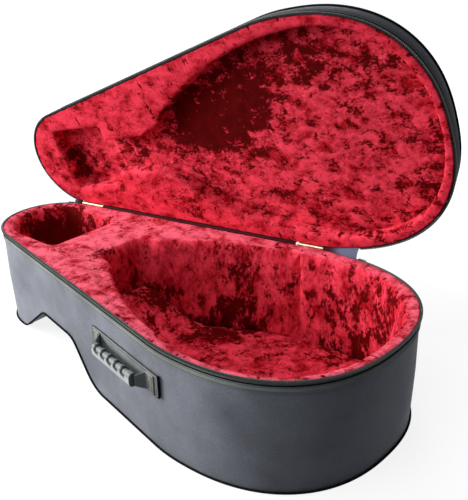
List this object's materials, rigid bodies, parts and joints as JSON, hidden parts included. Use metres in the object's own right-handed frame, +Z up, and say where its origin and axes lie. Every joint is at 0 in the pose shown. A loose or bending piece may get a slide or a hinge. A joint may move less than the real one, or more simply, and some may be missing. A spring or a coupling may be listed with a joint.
{
  "type": "oud case",
  "caption": "Teardrop hard case for an oud, open, with a padded velvet lining, a lid on butt hinges, a zip round the rim, a carrying handle and an arched underside below the neck.",
  "frame": {"origin": "on the underside of the base board, on the centre line below the case's widest place", "axes": "+X towards the wide end, +Y towards the hinge side, +Z up; the lid stands open as pictured"},
  "size_m": [0.8764, 0.4992, 0.6114],
  "materials": {
    "nylon": "woven nylon over board",
    "trim": "black nylon tape and cord",
    "zip_teeth": "moulded teeth",
    "velvet": "crushed velvet over foam",
    "brass": "satin",
    "nickel": "satin",
    "grip": "moulded"
  },
  "bodies": {
    "shell": {"arch_board": "nylon", "base_board": "nylon", "foot_board": "nylon", "lower_side_wall": "nylon", "bottom_piping": "trim", "bowl_floor_pad": "velvet", "bowl_side_padding": "velvet", "neck_block_padding": "velvet", "pegbox_padding": "velvet", "pegbox_floor_pad": "velvet", "lower_zip_tape": "trim", "lower_zip_teeth": "zip_teeth", "lower_rim_webbing": "nylon", "lower_hinge_web": "trim", "head_hinge_lower_leaf": "brass", "head_hinge_pin": "brass", "head_hinge_lower_rivet_1": "nickel", "head_hinge_lower_rivet_2": "nickel", "belly_hinge_lower_leaf": "brass", "belly_hinge_pin": "brass", "belly_hinge_lower_rivet_1": "nickel", "belly_hinge_lower_rivet_2": "nickel", "handle_patch": "nylon", "handle_head_tab": "trim", "handle_tail_tab": "trim", "zip_head_slider": "nickel", "zip_tail_slider": "nickel"},
    "lid": {"lid_side_wall": "nylon", "lid_top_board": "nylon", "lid_edge_piping": "trim", "lid_padding_surround": "velvet", "lid_back_pad": "velvet", "lid_zip_tape": "trim", "lid_zip_teeth": "zip_teeth", "lid_rim_webbing": "nylon", "lid_hinge_web": "trim", "head_hinge_lid_leaf": "brass", "head_hinge_lid_rivet_1": "nickel", "head_hinge_lid_rivet_2": "nickel", "belly_hinge_lid_leaf": "brass", "belly_hinge_lid_rivet_1": "nickel", "belly_hinge_lid_rivet_2": "nickel"},
    "handle": {"handle_strap": "trim", "handle_grip": "grip"},
    "head_pull": {"zip_head_pull": "nickel"},
    "tail_pull": {"zip_tail_pull": "nickel"}
  },
  "joints": [
    {"name": "lid_hinge", "type": "hinge", "parent": "shell", "child": "lid", "pos_m": [-0.53555, 0.10267, 0.189], "axis": [-0.9778, -0.2096, 0], "range_deg": [-76, 44]},
    {"name": "handle_swing", "type": "hinge", "parent": "shell", "child": "handle", "pos_m": [-0.13061, -0.19467, 0.121], "axis": [0.9778, -0.2096, 0], "range_deg": [-50, 50]},
    {"name": "head_pull_swing", "type": "hinge", "parent": "shell", "child": "head_pull", "pos_m": [-0.58864, 0.09062, 0.18475], "axis": [0.866, 0.5, 0], "range_deg": [-12, 62]},
    {"name": "tail_pull_swing", "type": "hinge", "parent": "shell", "child": "tail_pull", "pos_m": [0.03528, 0.21731, 0.18475], "axis": [0.9989, -0.0477, 0], "range_deg": [-12, 95]}
  ]
}
